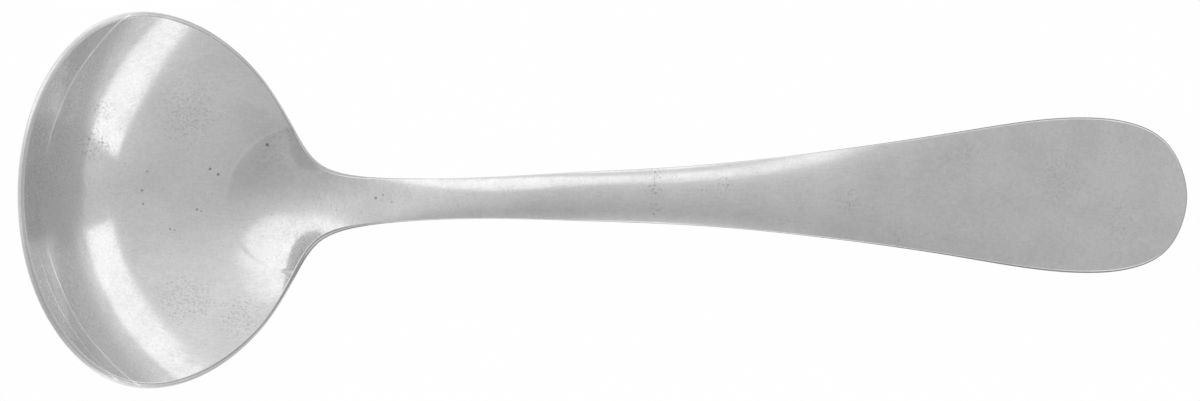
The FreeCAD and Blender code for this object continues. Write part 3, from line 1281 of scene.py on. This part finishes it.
        middle = stored("middle", "FLOAT_VECTOR")
        across = stored("across", "FLOAT_VECTOR")
        outward = stored("outward", "FLOAT_VECTOR")
        half = stored("half_wall", "FLOAT")
        turn = stored("turn", "FLOAT")
        square = given.output("Edge Squareness")
        cosine, sine = turn.cosine(), turn.sine()
        up = cosine.sign() * abs(cosine) ** square
        out = abs(sine) ** square * given.output("Edge Bulge") * 2.0
        wave = nodes.add(
            "ShaderNodeTexNoise",
            {"noise_dimensions": "4D"},
            {
                "Vector": middle,
                "W": given.output("Seed"),
                "Scale": 1.0 / (given.output("Uneven Pitch") * MM),
                "Detail": 1.0,
            },
        )
        lift = (wave - 0.5) * given.output("Unevenness") * MM
        place = middle + across * (half * up + lift) + outward * (half * out)
        moved = nodes.add(
            "GeometryNodeSetPosition",
            inputs={"Geometry": given.output("Geometry"), "Position": place},
        )
        smooth = nodes.add("GeometryNodeSetShadeSmooth", inputs={"Geometry": moved})
        real = nodes.add("GeometryNodeRealizeInstances", inputs={"Geometry": smooth})
        dressed = nodes.add(
            "GeometryNodeSetMaterial",
            inputs={"Geometry": real, "Material": given.output("Finish")},
        )
        nodes.node("NodeGroupOutput", inputs={"Geometry": dressed})
        return tree

    def _lay_down(self, mesh: bpy.types.Mesh) -> None:
        """Turns the mesh as the ladle rests, and sets it in the CAD solid's box.

        Args:
            mesh: The mesh in the frame of the bowl, which is moved in place.
        """
        points = np.empty(len(mesh.vertices) * 3)
        mesh.vertices.foreach_get("co", points)
        points = points.reshape(-1, 3)
        bowl = points[points[:, 0] < self.form.mouth_heel * MM]
        tip = points[points[:, 0] > self.form.blade_x * MM]
        angle = 0.0
        for _ in range(self.settling_rounds):
            low = [
                part[np.argmin(part[:, 2] * math.cos(angle) - part[:, 0] * math.sin(angle))]
                for part in (bowl, tip)
            ]
            angle = math.atan2(low[1][2] - low[0][2], low[1][0] - low[0][0])
        mesh.transform(Matrix.Rotation(angle, 4, "Y"))
        mesh.vertices.foreach_get("co", points.reshape(-1))
        points = points.reshape(-1, 3)
        low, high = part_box("ladle")
        lowest, highest = points.min(0), points.max(0)
        shift = Vector(
            (
                (low.x + high.x - lowest[0] - highest[0]) / 2,
                (low.y + high.y - lowest[1] - highest[1]) / 2,
                low.z - lowest[2],
            )
        )
        mesh.transform(Matrix.Translation(shift))
        mesh.update()
        log.info("ladle tilted %.2f degrees, moved %s mm", math.degrees(angle), shift / MM)


@dataclass(frozen=True)
class Dome:
    """Grey dome: its level straight above, and how it changes away from there."""

    above: float = 0.515
    north: float = 0.235
    north_squared: float = 0.22
    east_squared: float = 0.154
    low: float = -0.116
    east_north: float = -0.176
    north_low: float = -0.186
    west: float = 0.09
    west_reach: Reach = (-0.2, -0.9)

    def brightness(self, east: Sum, north: Sum, low: Sum) -> Sum:
        """Brightness of the dome in one direction.

        Args:
            east: Eastward part of the direction.
            north: Northward part of it.
            low: How far its upward part falls short of 1.

        Returns:
            The brightness, where 1 is white.
        """
        level = self.above + north * self.north + north * north * self.north_squared
        level = level + east * east * self.east_squared + low * self.low
        level = level + east * north * self.east_north + north * low * self.north_low
        return level + east.ramp(*self.west_reach) * self.west


@dataclass(frozen=True)
class Window:
    """Soft bright patch in the dome, half-way up in the north-north-west."""

    level: float = 0.28
    axis: Triple = (-0.383, 0.663, 0.643)
    reach: Reach = (0.84, 0.94)

    def brightness(self, towards: Sum) -> Sum:
        """What the window adds to the dome in one direction."""
        return towards.dot(self.axis).ramp(*self.reach) * self.level


@dataclass(frozen=True)
class Band:
    """Bright band low in the east, split by a dark gap, with its bearings in degrees."""

    level: float = 1.05
    axis: Triple = (0.515, 0.0, -0.857)
    edge: float = -0.11
    soft: float = 0.04
    gap_bearing: float = -6.0
    gap_half: float = 20.0
    gap_soft: float = 2.5

    def share(self, towards: Sum, east: Sum, north: Sum) -> Sum:
        """How much of the band there is in one direction.

        Args:
            towards: The direction.
            east: Eastward part of it.
            north: Northward part of it.

        Returns:
            One in the band, and zero above it and in its gap.
        """
        below = (towards.dot(self.axis) - self.edge).ramp(-self.soft, self.soft)
        return below * self.outside_gap(east, north)

    def outside_gap(self, east: Sum, north: Sum) -> Sum:
        """Zero in the dark gap and one beside it.

        Args:
            east: Eastward part of a direction.
            north: Northward part of it.

        Returns:
            The share of the band that is left.
        """
        off = abs(north.bearing(east) - math.radians(self.gap_bearing))
        inner, outer = self.gap_half - self.gap_soft, self.gap_half + self.gap_soft
        return off.ramp(math.radians(inner), math.radians(outer))


@dataclass
class Studio:
    """Plain pale studio, with its places in millimetres.

    A white table top lies under a grey dome that has a bright band low in the east and a soft
    window.  The silver reflects those, and the lamp lights the table top alone.
    """

    dome: Dome = field(default_factory=Dome)
    window: Window = field(default_factory=Window)
    band: Band = field(default_factory=Band)
    picture_width: float = 133.5
    picture_centre: Triple = (-0.25, -0.40, 12.0)
    picture_turn: float = -0.5
    camera_roll: float = 2.5
    camera_distance: float = 600.0
    camera_reach: Reach = (10.0, 5000.0)
    table_half: float = 2000.0
    table_drop: float = 0.05
    table_white: float = 0.985
    table_shine: float = 0.9
    bowl_place: float = -50.0
    lamp_power: float = 0.6
    lamp_size: float = 500.0
    lamp_place: Triple = (-60.0, 260.0, 700.0)

    def build(self) -> None:
        """Sets the floor, the world, the lamp and the camera."""
        bpy.context.scene.view_settings.view_transform = "Standard"
        self._floor()
        self._world()
        self._lamp()
        self._camera()

    def _floor(self) -> None:
        """White table top, which the object shades a little."""
        half = self.table_half * MM
        mesh = bpy.data.meshes.new("table_top")
        corners = [(-half, -half, 0), (half, -half, 0), (half, half, 0), (-half, half, 0)]
        mesh.from_pydata(corners, [], [(0, 1, 2, 3)])
        mesh.transform(Matrix.Translation((0.0, 0.0, -self.table_drop * MM)))
        mesh.materials.append(self._table_white())
        floor = linked("table_top", mesh)

    def _table_white(self) -> bpy.types.Material:
        """Makes the table top's finish.

        The camera sees it white, and so does the silver outside the gap in the band, as seen
        from the bowl.  To the light it is plain cloth.

        Returns:
            The material.
        """
        material = bpy.data.materials.new("table_white")
        nodes = NodeMaker.cleared(material)
        white = nodes.add(
            "ShaderNodeEmission", inputs={"Color": Colour.WHITE.value, "Strength": 1.0}
        )
        cloth = nodes.add("ShaderNodeBsdfDiffuse", inputs={"Color": Colour.CLOTH.value})
        path = nodes.add("ShaderNodeLightPath")
        place = nodes.add("ShaderNodeTexCoord", output="Object")
        parts = nodes.add("ShaderNodeSeparateXYZ", inputs={0: place})
        from_bowl = parts.output("X") - self.bowl_place * MM
        lit = self.band.outside_gap(from_bowl, parts.output("Y"))
        seen = path.output("Is Camera Ray") + path.output("Is Transmission Ray")
        seen = seen * self.table_white + path.output("Is Glossy Ray") * lit * self.table_shine
        mixed = nodes.add("ShaderNodeMixShader", inputs={0: seen, 1: cloth, 2: white})
        nodes.node("ShaderNodeOutputMaterial", inputs={"Surface": mixed})
        return material

    def _world(self) -> None:
        """Grey dome with the window in it and the bright band over it."""
        world = bpy.data.worlds.new("studio")
        bpy.context.scene.world = world
        nodes = NodeMaker.cleared(world)
        towards = nodes.add("ShaderNodeTexCoord", output="Generated")
        parts = nodes.add("ShaderNodeSeparateXYZ", inputs={0: towards})
        east, north, low = parts.output("X"), parts.output("Y"), 1.0 - parts.output("Z")
        above = self.dome.brightness(east, north, low) + self.window.brightness(towards)
        band = self.band.share(towards, east, north)
        level = above + band * (self.band.level - above)
        shine = nodes.add(
            "ShaderNodeBackground", inputs={"Color": Colour.WHITE.value, "Strength": level}
        )
        nodes.node("ShaderNodeOutputWorld", inputs={"Surface": shine})

    def _lamp(self) -> None:
        """Large soft lamp from above and to the north, which the silver doesn't reflect."""
        data = bpy.data.lights.new("soft_lamp", "AREA")
        data.shape = "DISK"
        data.size = self.lamp_size * MM
        data.energy = self.lamp_power
        lamp = linked("soft_lamp", data)
        place = Vector(self.lamp_place) * MM
        lamp.location = place
        lamp.rotation_euler = (-place).to_track_quat("-Z", "Y").to_euler()
        lamp.visible_glossy = False

    def _camera(self) -> None:
        """Camera straight above, turned and rolled as little as the photograph's."""
        data = bpy.data.cameras.new("camera")
        data.type = "ORTHO"
        data.ortho_scale = self.picture_width * MM
        data.clip_start, data.clip_end = (reach * MM for reach in self.camera_reach)
        camera = linked("camera", data)
        turn = Matrix.Rotation(math.radians(self.picture_turn), 4, "Z")
        roll = Matrix.Rotation(math.radians(self.camera_roll), 4, "X")
        back = Matrix.Translation((0.0, 0.0, self.camera_distance * MM))
        centre = Matrix.Translation(Vector(self.picture_centre) * MM)
        camera.matrix_world = centre @ turn @ roll @ back
        bpy.context.scene.camera = camera


def main() -> None:
    """Builds the ladle and the studio, and notes how the ladle was laid down and its number of
    faces.
    """
    logging.basicConfig(level=logging.INFO, format="%(message)s")
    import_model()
    ladle = Ladle().build()
    log.info("%s: %d faces", ladle.name, len(ladle.data.polygons))
    Studio().build()


if __name__ == "__main__":
    main()
